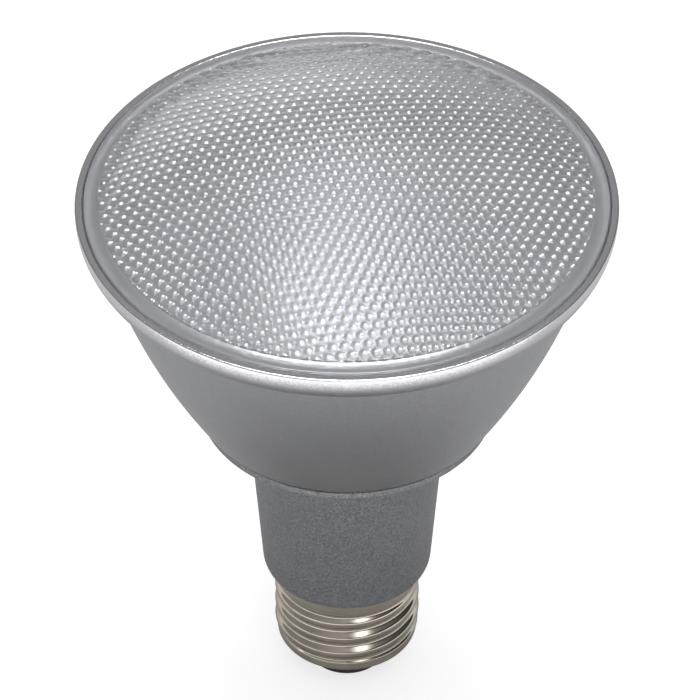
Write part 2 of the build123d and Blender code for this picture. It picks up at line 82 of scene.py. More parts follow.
@contextmanager
def editing(piece: bpy.types.Object) -> Iterator[None]:
    """Edit mode on one object, left again at the end of the block.

    Args:
        piece: The mesh object to edit.

    Returns:
        The context for a with statement.
    """
    pick(piece)
    bpy.ops.object.mode_set(mode="EDIT")
    try:
        yield
    finally:
        bpy.ops.object.mode_set(mode="OBJECT")


def modify(piece: bpy.types.Object, kind: str, **settings: Any) -> None:
    """Add a modifier to a piece and apply it.

    Args:
        piece: The mesh object to change.
        kind: The modifier's type.
        settings: The modifier's properties by name.
    """
    pick(piece)
    modifier = piece.modifiers.new(kind.title(), kind)
    for name, value in settings.items():
        setattr(modifier, name, value)
    bpy.ops.object.modifier_apply(modifier=modifier.name)


def combine(piece: bpy.types.Object, other: bpy.types.Object, operation: str) -> None:
    """Join or cut a closed piece with another closed one, which is used up.

    Args:
        piece: The mesh object that stays.
        other: The mesh object that is taken in, cut away or kept in common.
        operation: UNION, DIFFERENCE or INTERSECT.
    """
    modify(piece, "BOOLEAN", object=other, operation=operation, solver="MANIFOLD")
    bpy.data.objects.remove(other)


def smooth(piece: bpy.types.Object, degrees: float = SHARP_ANGLE) -> None:
    """Shade a piece smooth, apart from edges sharper than an angle."""
    pick(piece)
    bpy.ops.object.shade_smooth_by_angle(angle=math.radians(degrees))


class Outline:
    """Half section of a turned piece: corners in radius and height, which may be rounded."""

    ROUND_STEPS = 8

    def __init__(self) -> None:
        """Start an empty outline."""
        self.corners: list[tuple[Vector, float]] = []

    def corner(self, radius: float, height: float, rounding: float = 0.0) -> "Outline":
        """Add a corner.

        Args:
            radius: Distance from the axis.
            height: Height of the corner.
            rounding: Radius of the round on it, or 0 for a sharp corner.

        Returns:
            The outline itself, for the next corner.
        """
        self.corners.append((Vector((radius, height)), rounding))
        return self

    def along(self, points: Sequence[Point]) -> "Outline":
        """Add the points of a curve as sharp corners.

        Args:
            points: The curve's points in radius and height.

        Returns:
            The outline itself, for the next corner.
        """
        for radius, height in points:
            self.corner(radius, height)
        return self

    def points(self, closed: bool) -> list[Point]:
        """Resolve the rounds.

        Args:
            closed: Whether the last corner joins the first.

        Returns:
            The outline's points in radius and height, with the first repeated if it is closed.
        """
        found: list[Point] = []
        count = len(self.corners)
        for index, (corner, rounding) in enumerate(self.corners):
            if rounding > 0:
                before = self.corners[index - 1][0]
                after = self.corners[(index + 1) % count][0]
                found += fillet(before, corner, after, rounding, self.ROUND_STEPS)
            else:
                found.append((corner.x, corner.y))
        if closed:
            found.append(found[0])
        return found


def fillet(before: Vector, corner: Vector, after: Vector, radius: float, steps: int) -> list[Point]:
    """Round one corner of an outline.

    Args:
        before: The corner before it.
        corner: The corner to round.
        after: The corner after it.
        radius: Radius of the round.
        steps: Number of straight steps along it.

    Returns:
        Points along the round, from the side of before to the side of after.
    """
    back, ahead = (before - corner).normalized(), (after - corner).normalized()
    half = back.angle(ahead) / 2
    centre = corner + (back + ahead).normalized() * radius / math.sin(half)
    start = corner + back * radius / math.tan(half) - centre
    end = corner + ahead * radius / math.tan(half) - centre
    return arc_between(centre, start, end, radius, steps)


def arc_between(centre: Vector, start: Vector, end: Vector, radius: float, steps: int) -> list[Point]:
    """Points along the shorter arc between two directions from its centre.

    Args:
        centre: Centre of the arc.
        start: Direction of its first point.
        end: Direction of its last point.
        radius: Its radius.
        steps: Number of straight steps along it.

    Returns:
        The arc's points, both ends included.
    """
    first = math.atan2(start.y, start.x)
    turn = math.remainder(math.atan2(end.y, end.x) - first, math.tau)
    return arc((centre.x, centre.y), radius, first, first + turn, steps)


def arc(
    centre: Point, radius: float, start: float, end: float, steps: int, stretch: float = 1.0
) -> list[Point]:
    """Points along an arc between two angles in radians, counted from the radius towards the height.

    Args:
        centre: Centre of the arc.
        radius: Its radius.
        start: Angle of the first point.
        end: Angle of the last point.
        steps: Number of straight steps along it.
        stretch: Factor on its heights over the centre, for an oval arc.

    Returns:
        The arc's points, both ends included.
    """
    angles = [start + (end - start) * step / steps for step in range(steps + 1)]
    return [(centre[0] + radius * math.cos(a), centre[1] + stretch * radius * math.sin(a)) for a in angles]


def bulged(start: Point, end: Point, bulge: float, steps: int) -> list[Point]:
    """Points along an arc that bulges to the right of the way from start to end.

    Args:
        start: First point.
        end: Last point.
        bulge: Distance of the arc's middle from the chord.
        steps: Number of straight steps along it.

    Returns:
        The arc's points, both ends included.
    """
    first, last = Vector(start), Vector(end)
    chord = last - first
    radius = chord.length_squared / (8 * bulge) + bulge / 2
    left = Vector((-chord.y, chord.x)).normalized()
    centre = (first + last) / 2 + left * (radius - bulge)
    return arc_between(centre, first - centre, last - centre, radius, steps)


def parabola(start: Point, middle: Point, end: Point, steps: int) -> list[Point]:
    """Points along the parabola that leaves start and reaches end towards a middle control point.

    Args:
        start: First point.
        middle: Point where the tangents at both ends meet.
        end: Last point.
        steps: Number of straight steps along it.

    Returns:
        The parabola's points, both ends included.
    """
    found = []
    for step in range(steps + 1):
        t = step / steps
        weights = ((1 - t) ** 2, 2 * t * (1 - t), t**2)
        found.append(tuple(sum(w * p[i] for w, p in zip(weights, (start, middle, end))) for i in (0, 1)))
    return found


def turned(name: str, points: Sequence[Point], segments: int) -> bpy.types.Object:
    """Turn an outline about the lamp's axis into a closed mesh.

    Args:
        name: Name of the new object.
        points: Outline in radius and height, closed or with both ends on the axis.
        segments: Number of steps round the axis.

    Returns:
        The new mesh object.
    """
    bpy.ops.object.select_all(action="DESELECT")
    bpy.ops.mesh.primitive_plane_add(size=1.0)
    piece = bpy.context.active_object
    piece.name = piece.data.name = name
    with editing(piece):
        bpy.ops.mesh.merge(type="CENTER")
        bpy.ops.transform.translate(value=(points[0][0], 0, points[0][1]))
        for last, point in zip(points, points[1:]):
            step = (point[0] - last[0], 0, point[1] - last[1])
            bpy.ops.mesh.extrude_vertices_move(TRANSFORM_OT_translate={"value": step})
        bpy.ops.mesh.select_all(action="SELECT")
        bpy.ops.mesh.spin(steps=segments, angle=math.tau, center=(0, 0, 0), axis=AXIS)
        bpy.ops.mesh.select_all(action="SELECT")
        bpy.ops.mesh.remove_doubles(threshold=MERGE_DISTANCE)
        bpy.ops.mesh.normals_make_consistent(inside=False)
    return piece


def around(radius: float, degrees: Sequence[float]) -> list[Point]:
    """Places on a circle about the axis, at angles in degrees."""
    return [(radius * math.cos(a), radius * math.sin(a)) for a in map(math.radians, degrees)]


def bar(
    name: str,
    radius: float,
    low: float,
    high: float,
    place: Point = (0.0, 0.0),
    segments: int = BAR_SEGMENTS,
) -> bpy.types.Object:
    """Round bar that stands on the axis or beside it.

    Args:
        name: Name of the new object.
        radius: Radius of the bar.
        low: Height of its lower end.
        high: Height of its upper end.
        place: Place of its middle across the axis.
        segments: Number of steps round it.

    Returns:
        The new mesh object.
    """
    outline = Outline().corner(0, low).corner(radius, low).corner(radius, high).corner(0, high)
    piece = turned(name, outline.points(closed=False), segments)
    with editing(piece):
        bpy.ops.mesh.select_all(action="SELECT")
        bpy.ops.transform.translate(value=(*place, 0))
    return piece


def block(name: str, low: Sequence[float], high: Sequence[float]) -> bpy.types.Object:
    """Square block between two corners.

    Args:
        name: Name of the new object.
        low: Its lowest corner.
        high: Its highest corner.

    Returns:
        The new mesh object.
    """
    bpy.ops.object.select_all(action="DESELECT")
    bpy.ops.mesh.primitive_cube_add(size=1.0)
    piece = bpy.context.active_object
    piece.name = piece.data.name = name
    with editing(piece):
        bpy.ops.mesh.select_all(action="SELECT")
        bpy.ops.transform.resize(value=Vector(high) - Vector(low))
        bpy.ops.transform.translate(value=(Vector(high) + Vector(low)) / 2)
    return piece


def seat(piece: bpy.types.Object, slot: str, *nodes: str) -> bpy.types.Object:
    """Let a piece ride on the lamp and stand for CAD nodes.

    Args:
        piece: The finished piece.
        slot: The record's material slot. It is not used.
        nodes: The CAD nodes that it stands for.

    Returns:
        The piece.
    """
    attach(piece, BODY)
    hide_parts(*nodes)
    LOG.info("%s: %d faces, stands for %s", piece.name, len(piece.data.polygons), ", ".join(nodes))
    return piece


def paint(piece: bpy.types.Object, material: bpy.types.Material) -> None:
    """Give a piece one material all over."""
    piece.data.materials.clear()
    piece.data.materials.append(material)


# Shader nodes


class Value:
    """A number in a shader: Python's operators on it add Math nodes."""

    def __init__(self, graph: "Graph", socket: bpy.types.NodeSocket) -> None:
        """Wrap an output socket of a graph."""
        self.graph = graph
        self.socket = socket

    def _math(self, operation: str, first: "Feed", second: "Feed") -> "Value":
        """Add a Math node on two operands."""
        node = self.graph.node("ShaderNodeMath", {"operation": operation}, {0: first, 1: second})
        return Value(self.graph, node.outputs[0])

    def __add__(self, other: "Feed") -> "Value":
        """Sum with another value."""
        return self._math("ADD", self, other)

    def __radd__(self, other: "Feed") -> "Value":
        """Sum with a number on the left."""
        return self._math("ADD", other, self)

    def __sub__(self, other: "Feed") -> "Value":
        """Difference from another value."""
        return self._math("SUBTRACT", self, other)

    def __rsub__(self, other: "Feed") -> "Value":
        """Difference from a number on the left."""
        return self._math("SUBTRACT", other, self)

    def __mul__(self, other: "Feed") -> "Value":
        """Product with another value."""
        return self._math("MULTIPLY", self, other)

    def __rmul__(self, other: "Feed") -> "Value":
        """Product with a number on the left."""
        return self._math("MULTIPLY", other, self)

    def __pow__(self, other: "Feed") -> "Value":
        """Power of this value."""
        return self._math("POWER", self, other)

    def at_least(self, other: "Feed") -> "Value":
        """Larger of this and another value."""
        return self._math("MAXIMUM", self, other)

    def swing(self, share: float) -> "Value":
        """Factor about 1 that a noise about 0.5 moves by up to half a share each way."""
        return (1.0 - share / 2) + share * self

    def ramp(self, low: float, high: float) -> "Value":
        """Smooth step of this value.

        Args:
            low: Where the step is 0.
            high: Where it has reached 1.

        Returns:
            The step.
        """
        settings = {"interpolation_type": "SMOOTHSTEP"}
        sockets = {"Value": self, "From Min": low, "From Max": high}
        return Value(self.graph, self.graph.node("ShaderNodeMapRange", settings, sockets).outputs["Result"])


Feed = Union[Value, bpy.types.NodeSocket, float, Sequence[float]]


class Graph:
    """A node tree that is being wired."""

    NOISE_MEAN = 0.5

    def __init__(self, tree: bpy.types.NodeTree) -> None:
        """Clear a node tree and work on it."""
        self.tree = tree
        tree.nodes.clear()

    def node(self, kind: str, settings: dict[str, Any], sockets: dict[Any, Feed]) -> bpy.types.Node:
        """Add a node.

        Args:
            kind: The node's type.
            settings: Its properties by name, set first.
            sockets: Values or links of its inputs, by name or number.

        Returns:
            The new node.
        """
        node = self.tree.nodes.new(kind)
        for name, value in settings.items():
            setattr(node, name, value)
        for name, value in sockets.items():
            self.feed(node.inputs[name], value)
        return node

    def feed(self, socket: bpy.types.NodeSocket, value: Feed) -> None:
        """Link a value to an input socket, or set it there.

        Args:
            socket: The input socket.
            value: The value, the socket to link, or the number or colour to set.
        """
        if isinstance(value, Value):
            self.tree.links.new(value.socket, socket)
        elif isinstance(value, bpy.types.NodeSocket):
            self.tree.links.new(value, socket)
        elif socket.type == "RGBA":
            socket.default_value = (*value, 1.0)
        else:
            socket.default_value = value

    def place(self) -> bpy.types.NodeSocket:
        """Object coordinates of the shaded point."""
        return self.node("ShaderNodeTexCoord", {}, {}).outputs["Object"]

    def parts(self, vector: bpy.types.NodeSocket) -> tuple[Value, Value, Value]:
        """Parts of a vector, one by one."""
        outputs = self.node("ShaderNodeSeparateXYZ", {}, {0: vector}).outputs
        return Value(self, outputs["X"]), Value(self, outputs["Y"]), Value(self, outputs["Z"])

    def axial(self) -> tuple[Value, Value]:
        """Distance of the shaded point from the lamp's axis, and its height."""
        across, along, height = self.parts(self.place())
        return (across * across + along * along) ** 0.5, height

    def noise(self, scale: float, detail: float = 2.0) -> Value:
        """Noise over the object's space, about NOISE_MEAN, at a number of waves a metre."""
        sockets = {"Vector": self.place(), "Scale": scale, "Detail": detail}
        return Value(self, self.node("ShaderNodeTexNoise", {}, sockets).outputs["Fac"])

    def cells(self, scale: float) -> bpy.types.NodeSocket:
        """Random colours of cells over the object's space, at a number of cells a metre."""
        sockets = {"Vector": self.place(), "Scale": scale}
        return self.node("ShaderNodeTexVoronoi", {}, sockets).outputs["Color"]

    def blend(self, share: Feed, first: Feed, second: Feed) -> bpy.types.NodeSocket:
        """Mix of two colours."""
        node = self.node("ShaderNodeMix", {"data_type": "RGBA"}, {0: share, 6: first, 7: second})
        return node.outputs[2]

    def bump(self, height: Value, depth: float) -> bpy.types.NodeSocket:
        """Normal of a surface raised by a height times a depth."""
        return self.node("ShaderNodeBump", {}, {"Height": height, "Distance": depth}).outputs["Normal"]

    def tilted(self, colour: bpy.types.NodeSocket, tilt: float) -> bpy.types.NodeSocket:
        """Normal that leans over by a colour.

        Args:
            colour: Colour about mid grey, whose parts lean the normal along the three axes.
            tilt: Most lean from end to end, half of it each way.

        Returns:
            The normal.
        """
        plain = self.node("ShaderNodeNewGeometry", {}, {}).outputs["Normal"]
        leant = self.vector("MULTIPLY_ADD", colour, (tilt,) * 3, plain)
        return self.vector("NORMALIZE", self.vector("SUBTRACT", leant, (tilt / 2,) * 3))

    def vector(self, operation: str, *operands: Feed) -> bpy.types.NodeSocket:
        """Result of vector maths."""
        node = self.node("ShaderNodeVectorMath", {"operation": operation}, dict(enumerate(operands)))
        return node.outputs["Vector"]

    def facing(self, first: Feed, second: Feed) -> Value:
        """Dot product of two directions."""
        node = self.node("ShaderNodeVectorMath", {"operation": "DOT_PRODUCT"}, {0: first, 1: second})
        return Value(self, node.outputs["Value"])

    def ray(self, kind: str) -> Value:
        """Whether a ray is of a kind, as 1 or 0."""
        return Value(self, self.node("ShaderNodeLightPath", {}, {}).outputs[f"Is {kind} Ray"])

    def surface(self, sockets: dict[str, Feed]) -> None:
        """Wire a principled surface to the output."""
        shader = self.node("ShaderNodeBsdfPrincipled", {}, sockets)
        self.node("ShaderNodeOutputMaterial", {}, {"Surface": shader.outputs["BSDF"]})


def new_material(name: str) -> tuple[bpy.types.Material, Graph]:
    """Make an empty node material.

    Args:
        name: Its name.

    Returns:
        The material and the graph to wire it.
    """
    material = bpy.data.materials.new(name)
    material.use_nodes = True
    return material, Graph(material.node_tree)


def darkened(colour: Colour, share: float) -> Colour:
    """Colour with each part scaled by a share."""
    return tuple(share * part for part in colour)


# Finishes


@dataclass(frozen=True)
class FlakePaint:
    """Silver coat with fine metal flakes that each lie at their own tilt.

    The outermost wall and the highest face carry a painted highlight: a brighter, smoother copy of the coat.
    By default the radius and the height where that starts are far outside the lamp, so that nothing carries
    it.
    """

    name: str
    colour: Colour
    flake_colour: Colour
    roughness: float
    metallic: float
    flake_size: float
    flake_tilt: float
    painted_highlight_radius: float = 1.0
    painted_highlight_height: float = 1.0
    painted_highlight_colour: Colour = (0.72, 0.72, 0.745)
    painted_highlight_roughness: float = 0.2
    painted_highlight_fade: float = 0.0005
    cloud_scale: float = 60.0
    cloud_share: float = 0.3
    cloud_roughness: float = 0.1

    def material(self) -> bpy.types.Material:
        """Wire the coat.

        Returns:
            The material.
        """
        material, graph = new_material(self.name)
        flakes = graph.cells(1 / self.flake_size)
        tint = graph.node("ShaderNodeSeparateColor", {}, {"Color": flakes})
        cloud = graph.noise(self.cloud_scale)
        shade = (1.0 - self.cloud_share) * Value(graph, tint.outputs["Red"]) + self.cloud_share * cloud
        # Painted highlight: the outermost wall and the highest face get a brighter, smoother copy of the coat
        radius, height = graph.axial()
        top = height.ramp(self.painted_highlight_height - self.painted_highlight_fade, self.painted_highlight_height)
        bright = radius.ramp(self.painted_highlight_radius - self.painted_highlight_fade, self.painted_highlight_radius).at_least(top)
        dull = graph.blend(shade, self.colour, self.flake_colour)
        plain = self.roughness + self.cloud_roughness * (cloud - graph.NOISE_MEAN)
        graph.surface(
            {
                "Base Color": graph.blend(bright, dull, self.painted_highlight_colour),
                "Metallic": self.metallic + bright * (1.0 - self.metallic),
                "Roughness": plain + bright * (self.painted_highlight_roughness - plain),
                "Normal": graph.tilted(flakes, self.flake_tilt),
            }
        )
        return material


@dataclass(frozen=True)
class Plate:
    """Bright metal plate with a faint haze and drawing marks."""

    name: str
    colour: Colour
    roughness: float
    mark_depth: float
    mark_scale: float = 1400.0
    haze_scale: float = 180.0
    haze_detail: float = 3.0
    haze_span: tuple[float, float] = (0.35, 0.7)
    haze_shade: float = 0.86
    haze_swing: float = 0.8

    def material(self) -> bpy.types.Material:
        """Wire the plate.

        Returns:
            The material.
        """
        material, graph = new_material(self.name)
        haze = graph.noise(self.haze_scale, self.haze_detail)
        hazed = haze.ramp(*self.haze_span)
        graph.surface(
            {
                "Base Color": graph.blend(hazed, self.colour, darkened(self.colour, self.haze_shade)),
                "Metallic": 1.0,
                "Roughness": self.roughness * haze.swing(self.haze_swing),
                "Normal": graph.bump(graph.noise(self.mark_scale), self.mark_depth),
            }
        )
        return material


@dataclass(frozen=True)
class SatinMirror:
    """Satin metallised coat that ends in a bare dull rim."""

    name: str
    colour: Colour
    roughness: float
    rim_colour: Colour
    rim_radius: float
    rim_fade: float = 0.0008
    rim_metallic: float = 0.4
    haze_scale: float = 120.0
    haze_detail: float = 3.0
    haze_swing: float = 0.4

    def material(self) -> bpy.types.Material:
        """Wire the coat.

        Returns:
            The material.
        """
        material, graph = new_material(self.name)
        radius, _ = graph.axial()
        rim = radius.ramp(self.rim_radius - self.rim_fade, self.rim_radius)
        haze = graph.noise(self.haze_scale, self.haze_detail)
        graph.surface(
            {
                "Base Color": graph.blend(rim, self.colour, self.rim_colour),
                "Metallic": 1.0 - (1.0 - self.rim_metallic) * rim,
                "Roughness": self.roughness * haze.swing(self.haze_swing),
            }
        )
        return material


@dataclass(frozen=True)
class ClearMoulding:
    """Moulded lens material, mostly clear and a little milky, with a hard coat and a frosted rim."""

    name: str
    tint: Colour
    index: float
    roughness: float
    clearness: float
    frosted_radius: float
    frosted_roughness: float = 0.3
    frosted_fade: float = 0.0004
    coat_index: float = 1.62
    coat_roughness: float = 0.13
    ripple_scale: float = 90.0
    ripple_swing: float = 0.4

    def material(self) -> bpy.types.Material:
        """Wire the clear material.

        Returns:
            The material.
        """
        material, graph = new_material(self.name)
        radius, _ = graph.axial()
        frosted = radius.ramp(self.frosted_radius - self.frosted_fade, self.frosted_radius)
        clear = self.roughness * graph.noise(self.ripple_scale).swing(self.ripple_swing)
        graph.surface(
            {
                "Base Color": self.tint,
                "Roughness": clear + frosted * (self.frosted_roughness - clear),
                "IOR": self.index,
                "Transmission Weight": self.clearness,
                "Coat Weight": 1.0,
                "Coat Roughness": self.coat_roughness,
                "Coat IOR": self.coat_index,
            }
        )
        return material


class Gloss(Enum):
    """How shiny a moulded or dipped surface is: its roughness."""

    MATT = 0.62
    SATIN = 0.42
    SHINY = 0.2


@dataclass(frozen=True)
class Moulding:
    """Moulded, dipped or masked surface with a fine grain."""

    name: str
    colour: Colour
    gloss: Gloss
    metallic: float = 0.0
    grain_depth: float = 0.00002
    grain_scale: float = 4000.0
    cloud_scale: float = 300.0
    cloud_detail: float = 3.0
    cloud_span: tuple[float, float] = (0.3, 0.7)
    cloud_shade: float = 0.82
    cloud_swing: float = 0.3

    def material(self) -> bpy.types.Material:
        """Wire the moulding.

        Returns:
            The material.
        """
        material, graph = new_material(self.name)
        cloud = graph.noise(self.cloud_scale, self.cloud_detail)
        clouded = cloud.ramp(*self.cloud_span)
        graph.surface(
            {
                "Base Color": graph.blend(clouded, self.colour, darkened(self.colour, self.cloud_shade)),
                "Metallic": self.metallic,
                "Roughness": self.gloss.value * cloud.swing(self.cloud_swing),
                "Normal": graph.bump(graph.noise(self.grain_scale), self.grain_depth),
            }
        )
        return material


# Sub-assemblies


class Face(Enum):
    """Face of the lens."""

    OUTER = "outer"
    INNER = "inner"


@dataclass
class Lens:
    """Clear front lens: plain flange, rib, and a shallow dome with a field of hexagonal lenslets."""

    radius: float = 0.04597
    rib_radius: float = 0.04405
    rib_bore: float = 0.0433
    seat_height: float = LENS_SEAT
    thickness: float = 0.0022
    dome_rise: float = 0.0073
    dome_steps: int = 28
    rib_drop: float = 0.00085
    edge_round: float = 0.00035
    lenslet_pitch: float = 0.00209
    lenslet_curve: float = 0.0019
    row_angle: float = 8.5
    spare_rows: int = 2
    cell_cuts: int = 2
    pad_depth: float = 0.0006
    sink: float = 0.00002
    segments: int = 192
    sharp_angle: float = 40.0
    finish: ClearMoulding = ClearMoulding(
        name="lens_clear",
        tint=(0.92, 0.93, 0.97),
        index=1.52,
        roughness=0.1,
        clearness=0.85,
        frosted_radius=0.0435,
    )

    @property
    def corner_radius(self) -> float:
        """Distance from a lenslet's middle to its corners."""
        return self.lenslet_pitch / math.sqrt(3)

    @property
    def corner_level(self) -> float:
        """Height of a lenslet's corners over the middle of its ball."""
        return math.sqrt(self.lenslet_curve**2 - self.corner_radius**2)

    def dome(self, radius: float, face: Face) -> float:
        """Height of a face's dome at a distance from the axis, with the lenslets' tops at the full rise.

        Args:
            radius: Distance from the axis.
            face: The face that the dome is on.

        Returns:
            The height.
        """
        outer = face is Face.OUTER
        edge = self.rib_radius if outer else self.rib_bore
        level = self.seat_height + (self.thickness if outer else 0.0)
        rise = self.dome_rise - (self.lenslet_curve - self.corner_level if outer else 0.0)
        curve = (edge**2 + rise**2) / (2 * rise)
        return level + math.sqrt(curve**2 - radius**2) - (curve - rise)

    def build(self) -> bpy.types.Object:
        """Model the lens as one closed mesh.

        Returns:
            The lens.
        """
        foot = self.seat_height - self.rib_drop
        shares = [step / self.dome_steps for step in range(self.dome_steps + 1)]
        outside = [share * self.rib_radius for share in shares]
        inside = [share * self.rib_bore for share in reversed(shares)]
        outline = Outline().along([(r, self.dome(r, Face.OUTER)) for r in outside])
        outline.corner(self.radius, self.seat_height + self.thickness, self.edge_round)
        outline.corner(self.radius, self.seat_height)
        outline.corner(self.rib_radius, self.seat_height)
        outline.corner(self.rib_radius, foot)
        outline.corner(self.rib_bore, foot)
        outline.along([(r, self.dome(r, Face.INNER)) for r in inside])
        lens = turned("lens", outline.points(closed=False), self.segments)
        combine(lens, self.lenslets(), "UNION")
        smooth(lens, self.sharp_angle)
        return seat(lens, "lens_clear", "front_lens")

    def lenslet(self) -> bpy.types.Object:
        """Model one lenslet: a hexagon pulled into a cap that bulges away from the lens.

        Returns:
            The cell, with its corners on the plane of zero height.
        """
        bpy.ops.object.select_all(action="DESELECT")
        bpy.ops.mesh.primitive_circle_add(
            vertices=HEX_SIDES,
            radius=self.corner_radius,
            fill_type="TRIFAN",
            rotation=(0, 0, math.radians(self.row_angle)),
        )
        cell = bpy.context.active_object
        cell.name = cell.data.name = "lenslet"
        bpy.ops.object.transform_apply(location=True, rotation=True, scale=True)
        with editing(cell):
            bpy.ops.mesh.subdivide(number_cuts=self.cell_cuts)
        for vertex in cell.data.vertices:
            vertex.co.z = math.sqrt(self.lenslet_curve**2 - vertex.co.length_squared) - self.corner_level
        return cell

    def lenslets(self) -> bpy.types.Object:
        """Copy the lenslet over the outer dome and trim the field to the rib's bore.

        Returns:
            A closed pad with the lenslets on one side.
        """
        pad = self.lenslet()
        self.repeat(pad)
        for vertex in pad.data.vertices:
            vertex.co.z += self.dome(vertex.co.xy.length, Face.OUTER) - self.sink
        with editing(pad):
            bpy.ops.mesh.select_all(action="SELECT")
            bpy.ops.mesh.normals_make_consistent(inside=False)
            depth = (0, 0, -self.pad_depth)
            bpy.ops.mesh.extrude_region_move(TRANSFORM_OT_translate={"value": depth})
            bpy.ops.mesh.select_all(action="SELECT")
            bpy.ops.mesh.normals_make_consistent(inside=False)
        low, high = self.seat_height - self.rib_drop, self.seat_height + 2 * self.dome_rise
        combine(pad, bar("trimmer", self.rib_bore, low, high, segments=self.segments), "INTERSECT")
        return pad

    def repeat(self, cell: bpy.types.Object) -> None:
        """Repeat a lenslet in rows, as one sheet that reaches a little past the rib.

        Args:
            cell: The lenslet, which becomes the sheet.
        """
        row_step = self.lenslet_pitch * math.sin(math.radians(HEX_TURN))
        rows = math.ceil(2 * self.rib_radius / row_step) + self.spare_rows
        first, second = (
            Vector((math.cos(a), math.sin(a), 0)) * self.lenslet_pitch
            for a in (math.radians(self.row_angle), math.radians(self.row_angle + HEX_TURN))
        )
        cell.data.transform(Matrix.Translation(-(rows - 1) / 2 * (first + second)))
        for step in (first, second):
            modify(
                cell,
                "ARRAY",
                count=rows,
                use_relative_offset=False,
                use_constant_offset=True,
                constant_offset_displace=step,
            )
        edge = self.rib_radius + self.lenslet_pitch
        with editing(cell):
            bpy.ops.mesh.select_all(action="DESELECT")
        for vertex in cell.data.vertices:
            vertex.select = vertex.co.xy.length > edge
        with editing(cell):
            bpy.ops.mesh.delete(type="VERT")
            bpy.ops.mesh.select_all(action="SELECT")
            bpy.ops.mesh.remove_doubles(threshold=MERGE_DISTANCE)

    def dress(self, lens: bpy.types.Object) -> None:
        """Give the lens its clear finish."""
        paint(lens, self.finish.material())


